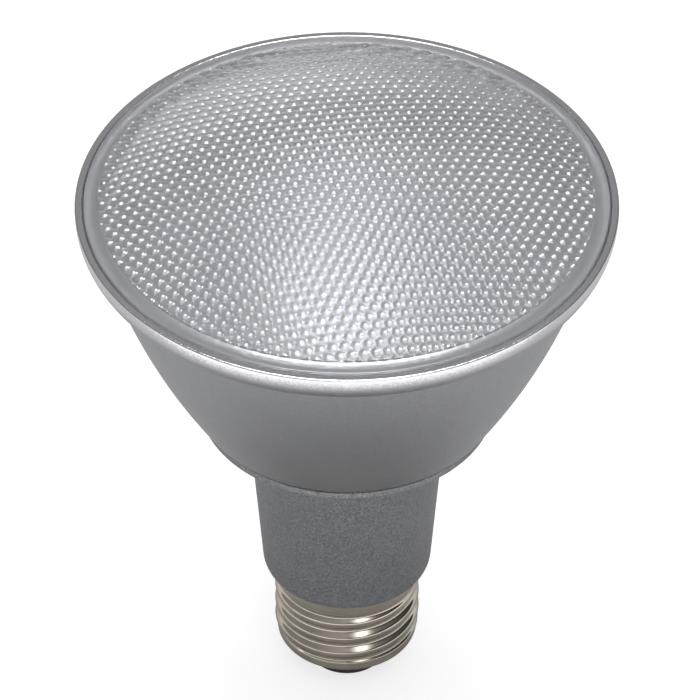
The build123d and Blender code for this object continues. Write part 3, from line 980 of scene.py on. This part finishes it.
@dataclass
class Bowl:
    """Silver bowl with a bead round the rim, and the mirror-coated reflector in it."""

    edge_radius: float = 0.0267
    edge_height: float = 0.0635
    edge_chamfer: float = 0.0004
    crease_radius: float = 0.04355
    crease_height: float = 0.1026
    bulge: float = 0.0016
    wall: float = 0.002
    wall_steps: int = 40
    bead_reach: float = 0.003
    bead_depth: float = 0.005
    bead_steps: int = 20
    rim_radius: float = 0.0475
    lip_radius: float = 0.0474
    lip_height: float = 0.10815
    lip_round: float = 0.0003
    lip_steps: int = 3
    recess_radius: float = 0.04612
    lens_seat: float = LENS_SEAT
    ledge_radius: float = 0.0446
    reflector_seat: float = 0.1042
    floor_height: float = 0.0704
    floor_top: float = 0.0734
    neck_screw_circle: float = NECK_SCREW_CIRCLE
    neck_screw_angles: tuple[float, ...] = NECK_SCREW_ANGLES
    neck_screw_hole: float = 0.0016
    board_screw_circle: float = 0.0135
    board_screw_angles: tuple[float, ...] = (0.0, 180.0)
    board_screw_hole: float = 0.00125
    lead_offset: float = 0.002
    lead_hole: float = 0.0008
    reflector_foot: float = 0.0098
    reflector_foot_height: float = 0.075
    reflector_bend: float = 0.0772
    reflector_mouth: float = 0.0406
    reflector_top: float = 0.1054
    reflector_edge: float = 0.04445
    reflector_wall: float = 0.0012
    reflector_steps: int = 40
    reflector_back_steps: int = 24
    segments: int = 192
    coat: FlakePaint = FlakePaint(
        name="bowl_silver",
        colour=(0.385, 0.39, 0.405),
        flake_colour=(0.51, 0.515, 0.53),
        roughness=0.34,
        metallic=0.95,
        flake_size=0.00016,
        flake_tilt=0.14,
        # The bead's outer wall and the lip's top face get the painted highlight
        painted_highlight_radius=0.04745,
        painted_highlight_height=0.1081,
    )
    mirror: SatinMirror = SatinMirror(
        name="mirror_coat",
        colour=(0.7, 0.7, 0.735),
        roughness=0.46,
        rim_colour=(0.3, 0.3, 0.32),
        rim_radius=0.0412,
    )

    def wall_arc(self, inset: float) -> list[Point]:
        """Points up the bowl's wall, set in from its outer face.

        Args:
            inset: Distance from the outer face.

        Returns:
            The points in radius and height.
        """
        edge = (self.edge_radius, self.edge_height)
        crease = (self.crease_radius, self.crease_height)
        outer = bulged(edge, crease, self.bulge, self.wall_steps)
        return [(radius - inset, height) for radius, height in outer]

    def wall_radius(self, height: float, inset: float) -> float:
        """Radius of the wall at a height.

        Args:
            height: The height.
            inset: Distance from the outer face.

        Returns:
            The radius.
        """
        wall = self.wall_arc(inset)
        for low, high in zip(wall, wall[1:]):
            if low[1] <= height <= high[1]:
                share = (height - low[1]) / (high[1] - low[1])
                return low[0] + share * (high[0] - low[0])
        return wall[-1][0]

    def bead(self) -> list[Point]:
        """Round of the bead: an oval arc out to the rim, and a slight lean up to the lip.

        Returns:
            The points in radius and height.
        """
        height = self.crease_height + self.bead_depth
        lean, rise = self.rim_radius - self.lip_radius, self.lip_height - height
        upper = (lean**2 + rise**2) / (2 * lean)
        centre = (self.rim_radius - self.bead_reach, height)
        stretch = self.bead_depth / self.bead_reach
        oval = arc(centre, self.bead_reach, -math.pi / 2, 0, self.bead_steps, stretch)
        upper_centre = (self.rim_radius - upper, height)
        return oval + arc(upper_centre, upper, 0, math.asin(rise / upper), self.lip_steps)[1:-1]

    def build(self) -> bpy.types.Object:
        """Model the bowl as one closed turned shell with its floor.

        Returns:
            The bowl.
        """
        inner = self.wall_arc(self.wall)
        below = [point for point in inner if point[1] < self.floor_height]
        above = [point for point in inner if point[1] > self.floor_top]
        outline = Outline().corner(0, self.floor_height)
        outline.corner(self.wall_radius(self.floor_height, self.wall), self.floor_height)
        outline.along(below[::-1])
        outline.corner(self.edge_radius - self.edge_chamfer, self.edge_height)
        outline.along([p for p in self.wall_arc(0.0) if p[1] > self.edge_height + self.edge_chamfer])
        outline.along(self.bead())
        outline.corner(self.lip_radius, self.lip_height, self.lip_round)
        outline.corner(self.recess_radius, self.lip_height, self.lip_round)
        outline.corner(self.recess_radius, self.lens_seat)
        outline.corner(self.ledge_radius, self.lens_seat)
        outline.corner(self.ledge_radius, self.reflector_seat)
        outline.corner(self.crease_radius - self.wall, self.reflector_seat)
        outline.along(above[::-1])
        outline.corner(self.wall_radius(self.floor_top, self.wall), self.floor_top)
        outline.corner(0, self.floor_top)
        bowl = turned("bowl", outline.points(closed=False), self.segments)
        self.drill_floor(bowl)
        smooth(bowl)
        return seat(bowl, "bowl_silver", "bowl_housing")

    def drill_floor(self, bowl: bpy.types.Object) -> None:
        """Drill the floor for the neck's screws, the light board's screws and its two leads.

        Args:
            bowl: The bowl.
        """
        lead_along = math.sqrt(self.board_screw_circle**2 - self.lead_offset**2)
        leads = [(side * self.lead_offset, lead_along) for side in (-1, 1)]
        holes = (
            (self.neck_screw_hole, around(self.neck_screw_circle, self.neck_screw_angles)),
            (self.board_screw_hole, around(self.board_screw_circle, self.board_screw_angles)),
            (self.lead_hole, leads),
        )
        low, high = self.floor_height - self.wall, self.floor_top + self.wall
        for radius, places in holes:
            for place in places:
                combine(bowl, bar("drill", radius, low, high, place), "DIFFERENCE")

    def build_reflector(self) -> bpy.types.Object:
        """Model the reflector: foot, parabolic bowl and flange.

        Returns:
            The reflector.
        """
        foot, mouth, wall = self.reflector_foot, self.reflector_mouth, self.reflector_wall
        rise = self.reflector_top - self.reflector_bend
        middle = (foot + mouth) / 2
        middle_height = self.reflector_bend + rise * foot / (foot + mouth)
        ledge = self.reflector_top - wall
        inside = parabola(
            (foot, self.reflector_bend),
            (middle, middle_height),
            (mouth, self.reflector_top),
            self.reflector_steps,
        )
        outside = parabola(
            (mouth + wall / 2, ledge),
            (middle + wall, middle_height - wall),
            (foot + wall, self.reflector_bend - wall / 2),
            self.reflector_back_steps,
        )
        outline = Outline().along(inside)
        outline.corner(self.reflector_edge, self.reflector_top).corner(self.reflector_edge, ledge)
        outline.along(outside)
        outline.corner(foot + wall, self.reflector_foot_height).corner(foot, self.reflector_foot_height)
        reflector = turned("reflector_cup", outline.points(closed=True), self.segments)
        smooth(reflector)
        return seat(reflector, "mirror_coat", "reflector")

    def dress(self, bowl: bpy.types.Object, reflector: bpy.types.Object) -> None:
        """Paint the bowl and coat the reflector."""
        paint(bowl, self.coat.material())
        paint(reflector, self.mirror.material())


@dataclass
class Neck:
    """Tapered silver neck between the bowl and the screw shell."""

    spigot_radius: float = 0.01173
    spigot_bore: float = 0.01033
    spigot_height: float = 0.0125
    foot_radius: float = 0.01505
    foot_height: float = 0.024
    foot_round: float = 0.0024
    top_radius: float = 0.0179
    shoulder_height: float = 0.0604
    lip_radius: float = 0.0264
    lip_height: float = 0.0619
    lip_top: float = 0.06335
    lip_round: float = 0.0003
    flange_radius: float = 0.02419
    flange_top: float = 0.065
    wall: float = 0.0018
    step: float = 0.002
    post_circle: float = NECK_SCREW_CIRCLE
    post_angles: tuple[float, ...] = NECK_SCREW_ANGLES
    post_radius: float = 0.003
    post_top: float = 0.0704
    pilot_radius: float = 0.0015
    pilot_foot: float = 0.06485
    board_offset: float = -0.003
    rib_reach: float = 0.011
    rib_width: float = 0.0041
    rib_length: float = 0.03
    slot_reach: float = 0.01276
    slot_width: float = 0.0015
    segments: int = 160
    finish: FlakePaint = FlakePaint(
        name="neck_silver",
        colour=(0.21, 0.214, 0.226),
        flake_colour=(0.43, 0.435, 0.45),
        roughness=0.4,
        metallic=0.5,
        flake_size=0.00022,
        flake_tilt=0.4,
    )

    def radius_at(self, height: float) -> float:
        """Radius of the taper at a height."""
        share = (height - self.foot_height) / (self.shoulder_height - self.foot_height)
        return self.foot_radius + share * (self.top_radius - self.foot_radius)

    def build(self) -> bpy.types.Object:
        """Model the neck as one closed turned tube.

        Returns:
            The neck.
        """
        step_height = self.foot_height + self.step
        outline = Outline().corner(self.spigot_bore, self.spigot_height)
        outline.corner(self.spigot_radius, self.spigot_height)
        outline.corner(self.spigot_radius, self.foot_height)
        outline.corner(self.foot_radius, self.foot_height, self.foot_round)
        outline.corner(self.top_radius, self.shoulder_height)
        outline.corner(self.lip_radius, self.lip_height, self.lip_round)
        outline.corner(self.lip_radius, self.lip_top, self.lip_round)
        outline.corner(self.flange_radius, self.lip_top)
        outline.corner(self.flange_radius, self.flange_top)
        outline.corner(self.radius_at(self.flange_top) - self.wall, self.flange_top)
        outline.corner(self.radius_at(step_height) - self.wall, step_height)
        outline.corner(self.spigot_bore, step_height)
        neck = turned("neck", outline.points(closed=True), self.segments)
        self.add_posts(neck)
        self.add_slots(neck)
        smooth(neck)
        return seat(neck, "neck_silver", "neck_housing")

    def add_posts(self, neck: bpy.types.Object) -> None:
        """Stand the screw posts on the flange, each with its pilot hole.

        Args:
            neck: The neck.
        """
        top = self.post_top + self.wall
        for place in around(self.post_circle, self.post_angles):
            combine(neck, bar("post", self.post_radius, self.lip_top, self.post_top, place), "UNION")
            combine(neck, bar("pilot", self.pilot_radius, self.pilot_foot, top, place), "DIFFERENCE")

    def add_slots(self, neck: bpy.types.Object) -> None:
        """Stand a rib on each side of the bore and cut the driver board's slot in them.

        Args:
            neck: The neck.
        """
        low = self.foot_height + self.step
        high = low + self.rib_length
        near, far = self.board_offset - self.rib_width / 2, self.board_offset + self.rib_width / 2
        for side in (-1, 1):
            ends = sorted((side * self.rib_reach, side * self.foot_radius))
            rib = block("rib", (ends[0], near, low), (ends[1], far, high))
            core = Outline().corner(0, low).corner(self.radius_at(low) - self.wall / 2, low)
            core.corner(self.radius_at(high) - self.wall / 2, high).corner(0, high)
            combine(rib, turned("core", core.points(closed=False), self.segments), "INTERSECT")
            combine(neck, rib, "UNION")
        near, far = self.board_offset - self.slot_width / 2, self.board_offset + self.slot_width / 2
        slot = block("slot", (-self.slot_reach, near, low), (self.slot_reach, far, high + self.wall))
        combine(neck, slot, "DIFFERENCE")

    def dress(self, neck: bpy.types.Object) -> None:
        """Give the neck its flake finish."""
        paint(neck, self.finish.material())


@dataclass
class ScrewBase:
    """Plated screw shell with its insulator and centre contact."""

    pitch: float = 0.0254 / 7
    crest_radius: float = 0.0131
    depth: float = 0.00082
    end_angle: float = 120.0
    collar_radius: float = 0.01318
    collar_height: float = 0.0211
    top_height: float = 0.024
    foot_radius: float = 0.0126
    foot_round: float = 0.0012
    foot_height: float = 0.007
    thread_height: float = 0.0086
    lip_bore: float = 0.0101
    wall: float = 0.0004
    runout: float = 0.0012
    thread_rings: int = 96
    segments: int = 180
    sharp_angle: float = 40.0
    insulator_tip: float = 0.0068
    insulator_tip_round: float = 0.0004
    insulator_waist: float = 0.00995
    insulator_waist_height: float = 0.0058
    insulator_waist_round: float = 0.0006
    insulator_flange: float = 0.0108
    insulator_top: float = 0.0087
    insulator_segments: int = 128
    lip_top: float = 0.0074
    contact_radius: float = 0.0048
    contact_height: float = 0.0012
    contact_round: float = 0.0004
    contact_segments: int = 96
    eyelet_radius: float = 0.0019
    eyelet_bore: float = 0.0012
    eyelet_hole: float = 0.00195
    eyelet_top: float = 0.0093
    nickel: Plate = Plate("nickel_plate", (0.75, 0.68, 0.585), roughness=0.06, mark_depth=0.000001)
    black: Moulding = Moulding("insulator_black", (0.02, 0.02, 0.022), Gloss.SHINY)
    brass: Plate = Plate("contact_metal", (0.62, 0.55, 0.42), roughness=0.25, mark_depth=0.000003)

    @property
    def mean_radius(self) -> float:
        """Radius half way between the thread's crests and roots."""
        return self.crest_radius - self.depth / 2

    def build_shell(self) -> bpy.types.Object:
        """Turn the plain shell, roll the thread into it and give the sheet its thickness.

        Returns:
            The shell.
        """
        outline = Outline().corner(self.lip_bore, self.foot_height)
        outline.corner(self.foot_radius, self.foot_height, self.foot_round)
        span = self.collar_height + self.runout - self.thread_height
        for ring in range(self.thread_rings + 1):
            outline.corner(self.mean_radius, self.thread_height + span * ring / self.thread_rings)
        outline.corner(self.collar_radius, self.collar_height + 2 * self.runout)
        outline.corner(self.collar_radius, self.top_height)
        shell = turned("screw_shell_sheet", outline.points(closed=False), self.segments)
        for vertex in shell.data.vertices:
            self.roll(vertex.co)
        with editing(shell):
            bpy.ops.mesh.select_all(action="SELECT")
            bpy.ops.mesh.normals_make_consistent(inside=False)
        modify(shell, "SOLIDIFY", thickness=self.wall, offset=-1.0)
        smooth(shell, self.sharp_angle)
        return seat(shell, "nickel_plate", "screw_shell")

    def roll(self, point: Vector) -> None:
        """Move a point of the plain shell out or in to where the rolled thread has it.

        Args:
            point: The point, which is changed.
        """
        height = point.z
        if height < self.thread_height - MERGE_DISTANCE:
            return
        angle = math.atan2(point.y, point.x)
        phase = math.tau * (height - self.collar_height) / self.pitch
        wave = math.cos(angle - math.radians(self.end_angle) - phase)
        rise = self.smoothstep((height - self.thread_height) / self.runout)
        collar = self.smoothstep((height - self.collar_height + self.runout) / (2 * self.runout))
        plain = self.foot_radius + rise * (self.mean_radius - self.foot_radius)
        radius = plain + rise * (1 - collar) * wave * self.depth / 2
        radius += collar * (self.collar_radius - plain)
        point.xy = (radius * math.cos(angle), radius * math.sin(angle))

    @staticmethod
    def smoothstep(share: float) -> float:
        """Smooth step from 0 to 1 over a share that is held between them."""
        held = min(max(share, 0.0), 1.0)
        return held * held * (3 - 2 * held)

    def build_insulator(self) -> bpy.types.Object:
        """Model the moulded insulator.

        Returns:
            The insulator.
        """
        outline = Outline().corner(self.eyelet_hole, self.contact_height)
        outline.corner(self.insulator_tip, self.contact_height, self.insulator_tip_round)
        outline.corner(self.insulator_waist, self.insulator_waist_height, self.insulator_waist_round)
        outline.corner(self.insulator_waist, self.lip_top)
        outline.corner(self.insulator_flange, self.lip_top)
        outline.corner(self.insulator_flange, self.insulator_top)
        outline.corner(self.eyelet_hole, self.insulator_top)
        insulator = turned("base_insulator_body", outline.points(closed=True), self.insulator_segments)
        smooth(insulator)
        return seat(insulator, "insulator_black", "base_insulator")

    def build_contact(self) -> bpy.types.Object:
        """Model the contact button with its hollow eyelet.

        Returns:
            The contact.
        """
        outline = Outline().corner(0, 0)
        outline.corner(self.contact_radius, 0, self.contact_round)
        outline.corner(self.contact_radius, self.contact_height)
        outline.corner(self.eyelet_radius, self.contact_height)
        outline.corner(self.eyelet_radius, self.eyelet_top)
        outline.corner(self.eyelet_bore, self.eyelet_top)
        outline.corner(self.eyelet_bore, self.contact_height)
        outline.corner(0, self.contact_height)
        contact = turned("contact_button", outline.points(closed=False), self.contact_segments)
        smooth(contact)
        return seat(contact, "contact_metal", "centre_contact")

    def dress(self, shell: bpy.types.Object, insulator: bpy.types.Object, contact: bpy.types.Object) -> None:
        """Plate the shell and give the insulator and the contact their finishes.

        Args:
            shell: The screw shell.
            insulator: The insulator.
            contact: The centre contact.
        """
        paint(shell, self.nickel.material())
        paint(insulator, self.black.material())
        paint(contact, self.brass.material())


@dataclass
class Insides:
    """Light source, driver and leads: CAD nodes that keep their meshes and get their finishes."""

    finishes: dict[str, Union[Moulding, Plate]] = field(
        default_factory=lambda: {
            "led_board": Moulding("light_board", (0.82, 0.82, 0.8), Gloss.SATIN),
            "led_bodies": Moulding("package_white", (0.86, 0.85, 0.82), Gloss.SATIN),
            "led_phosphors": Moulding("phosphor_yellow", (0.86, 0.62, 0.16), Gloss.SATIN),
            "neck_screws": Plate("screw_zinc", (0.6, 0.6, 0.6), roughness=0.3, mark_depth=0.000002),
            "driver_board": Moulding("circuit_board", (0.06, 0.2, 0.08), Gloss.SATIN),
            "bulk_capacitor": Moulding("sleeve_black", (0.02, 0.02, 0.03), Gloss.SHINY),
            "film_capacitor": Moulding("film_case", (0.55, 0.42, 0.08), Gloss.SHINY),
            "varistor": Moulding("varistor_coat", (0.03, 0.1, 0.36), Gloss.SHINY),
            "fuse_resistor": Moulding("resistor_coat", (0.2, 0.26, 0.3), Gloss.MATT),
            "transformer_core": Moulding("ferrite", (0.05, 0.05, 0.055), Gloss.MATT),
            "transformer_bobbin": Moulding("bobbin_plastic", (0.03, 0.03, 0.03), Gloss.MATT),
            "transformer_winding": Moulding("copper_wire", (0.72, 0.32, 0.14), Gloss.SATIN, metallic=0.9),
            "control_chip": Moulding("chip_black", (0.02, 0.02, 0.02), Gloss.MATT),
            "live_lead": Moulding("wire_red", (0.5, 0.03, 0.03), Gloss.SATIN),
            "neutral_lead": Moulding("wire_black", (0.02, 0.02, 0.02), Gloss.SATIN),
        }
    )
    alike: dict[str, tuple[str, ...]] = field(
        default_factory=lambda: {
            "neck_screws": ("board_screws",),
            "bulk_capacitor": ("output_capacitor",),
            "transformer_core": ("filter_choke",),
            "control_chip": ("bridge_rectifier", "switch_transistor", "chip_resistors"),
            "live_lead": ("led_lead_positive",),
            "neutral_lead": ("led_lead_negative",),
        }
    )

    def dress(self) -> None:
        """Give every inner node its finish."""
        for node, finish in self.finishes.items():
            material = finish.material()
            for name in (node, *self.alike.get(node, ())):
                paint(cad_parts[name], material)
                LOG.info("%s: %s", name, material.name)


# Studio


@dataclass(frozen=True)
class Softbox:
    """One large soft lamp."""

    name: str
    place: Place
    width: float
    height: float
    power: float
    aim: Place = (0.0, 0.0, 0.07)

    def build(self) -> None:
        """Hang the lamp and aim it."""
        lamp = bpy.data.lights.new(self.name, "AREA")
        lamp.shape = "RECTANGLE"
        lamp.size, lamp.size_y = self.width, self.height
        lamp.energy = self.power
        holder = bpy.data.objects.new(self.name, lamp)
        bpy.context.collection.objects.link(holder)
        holder.location = self.place
        holder.rotation_euler = (Vector(self.aim) - Vector(self.place)).to_track_quat("-Z", "Y").to_euler()


@dataclass(frozen=True)
class Glow:
    """Soft bright part of the room in one direction."""

    towards: Place
    strength: float
    tightness: float


@dataclass
class Studio:
    """Plain pale floor, soft light and the camera at the photograph's angle.

    Metal and glass see a painted pool of light on the floor in front of the lamp, which starts outside
    painted shade round its foot.
    Spans on the room are parts of a unit direction, across to the right or up from level.
    """

    camera_distance: float = 1.3
    camera_elevation: float = 40.0
    camera_focus: Place = (0.0, 0.0, 0.1056)
    camera_aim: Place = (0.00055, 0.0, 0.0738)
    sensor: float = 36.0
    focal_length: float = 383.0
    floor_size: float = 3.0
    floor_colour: Colour = (0.55, 0.55, 0.55)
    floor_glow: float = 0.74
    painted_pool_strength: float = 0.9
    painted_shade_radius: float = 0.09
    painted_shade_end: float = 0.17
    painted_pool_edge: float = 0.02
    painted_pool_depth: float = 0.1
    painted_pool_rest: float = 0.15
    horizon: float = 0.05
    zenith: float = 0.25
    sky_span: tuple[float, float] = (0.05, 0.7)
    wall_glow: float = 0.2
    wall_across: tuple[float, float] = (-0.12, 0.03)
    wall_up: tuple[float, float] = (0.15, 0.5)
    glows: tuple[Glow, ...] = (
        Glow((0.0, -0.7, 0.714), strength=0.25, tightness=5.0),
        Glow((0.3, -0.88, 0.37), strength=2.2, tightness=70.0),
        Glow((0.0, 0.993, 0.12), strength=0.6, tightness=18.0),
    )
    softboxes: tuple[Softbox, ...] = (
        Softbox("key_softbox", (0.0, 0.3, 1.19), width=0.45, height=0.45, power=5.2),
        Softbox("front_softbox", (0.1, -0.85, 1.2), width=0.5, height=0.3, power=2.4),
        Softbox("top_softbox", (0.0, -0.05, 1.25), width=0.8, height=0.7, power=5.0),
    )

    def build(self) -> None:
        """Set up camera, floor, world and lamps."""
        self.build_camera()
        self.build_floor()
        self.build_world()
        for softbox in self.softboxes:
            softbox.build()
        bpy.context.scene.view_settings.view_transform = "Standard"

    def build_camera(self) -> None:
        """Set up the camera."""
        lens = bpy.data.cameras.new("camera")
        lens.sensor_width = self.sensor
        lens.lens = self.focal_length
        camera = bpy.data.objects.new("camera", lens)
        bpy.context.collection.objects.link(camera)
        tilt = math.radians(self.camera_elevation)
        back = Vector((0, -math.cos(tilt), math.sin(tilt))) * self.camera_distance
        camera.location = Vector(self.camera_focus) + back
        look = Vector(self.camera_aim) - camera.location
        camera.rotation_euler = look.to_track_quat("-Z", "Y").to_euler()
        bpy.context.scene.camera = camera

    def build_floor(self) -> None:
        """Lay the pale floor, which keeps the lamp's shadow."""
        bpy.ops.object.select_all(action="DESELECT")
        bpy.ops.mesh.primitive_plane_add(size=self.floor_size)
        floor = bpy.context.active_object
        floor.name = "floor"
        material, graph = new_material("floor_white")
        camera, glossy, through = (graph.ray(kind) for kind in ("Camera", "Glossy", "Transmission"))
        # Painted light for metal and glass: the floor glows as a pool in front of the lamp, held back round
        # its foot as painted shade
        away, _ = graph.axial()
        _, behind, _ = graph.parts(graph.place())
        ahead = (-1.0 * behind).ramp(self.painted_pool_edge, self.painted_pool_depth)
        painted_pool = away.ramp(self.painted_shade_radius, self.painted_shade_end) * (self.painted_pool_rest + (1.0 - self.painted_pool_rest) * ahead)
        seen = camera * self.floor_glow + (1.0 - camera) * (glossy + through) * painted_pool * self.painted_pool_strength
        matt = graph.node("ShaderNodeBsdfDiffuse", {}, {"Color": self.floor_colour})
        glow = graph.node("ShaderNodeEmission", {}, {"Strength": seen})
        both = graph.node("ShaderNodeAddShader", {}, {0: matt.outputs[0], 1: glow.outputs[0]})
        graph.node("ShaderNodeOutputMaterial", {}, {"Surface": both.outputs[0]})
        paint(floor, material)

    def build_world(self) -> None:
        """Light the room: white to the camera, to all else dim at the horizon with soft bright parts."""
        world = bpy.data.worlds.new("room")
        bpy.context.scene.world = world
        world.use_nodes = True
        graph = Graph(world.node_tree)
        camera = graph.ray("Camera")
        direction = graph.node("ShaderNodeTexCoord", {}, {}).outputs["Generated"]
        across, _, height = graph.parts(direction)
        room = self.horizon + height.ramp(*self.sky_span) * (self.zenith - self.horizon)
        left, low = 1.0 - across.ramp(*self.wall_across), 1.0 - height.ramp(*self.wall_up)
        room = room + self.wall_glow * left * low
        for glow in self.glows:
            facing = graph.facing(direction, glow.towards).at_least(0.0)
            room = room + glow.strength * facing ** glow.tightness
        strength = room + camera * (1.0 - room)
        back = graph.node("ShaderNodeBackground", {}, {"Color": (1.0, 1.0, 1.0), "Strength": strength})
        graph.node("ShaderNodeOutputWorld", {}, {"Surface": back.outputs[0]})


def main() -> None:
    """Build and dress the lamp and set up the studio."""
    logging.basicConfig(level=logging.INFO, format="%(message)s")
    lens = Lens()
    lens.dress(lens.build())
    bowl = Bowl()
    bowl.dress(bowl.build(), bowl.build_reflector())
    neck = Neck()
    neck.dress(neck.build())
    base = ScrewBase()
    base.dress(base.build_shell(), base.build_insulator(), base.build_contact())
    Insides().dress()
    Studio().build()


if __name__ == "__main__":
    main()
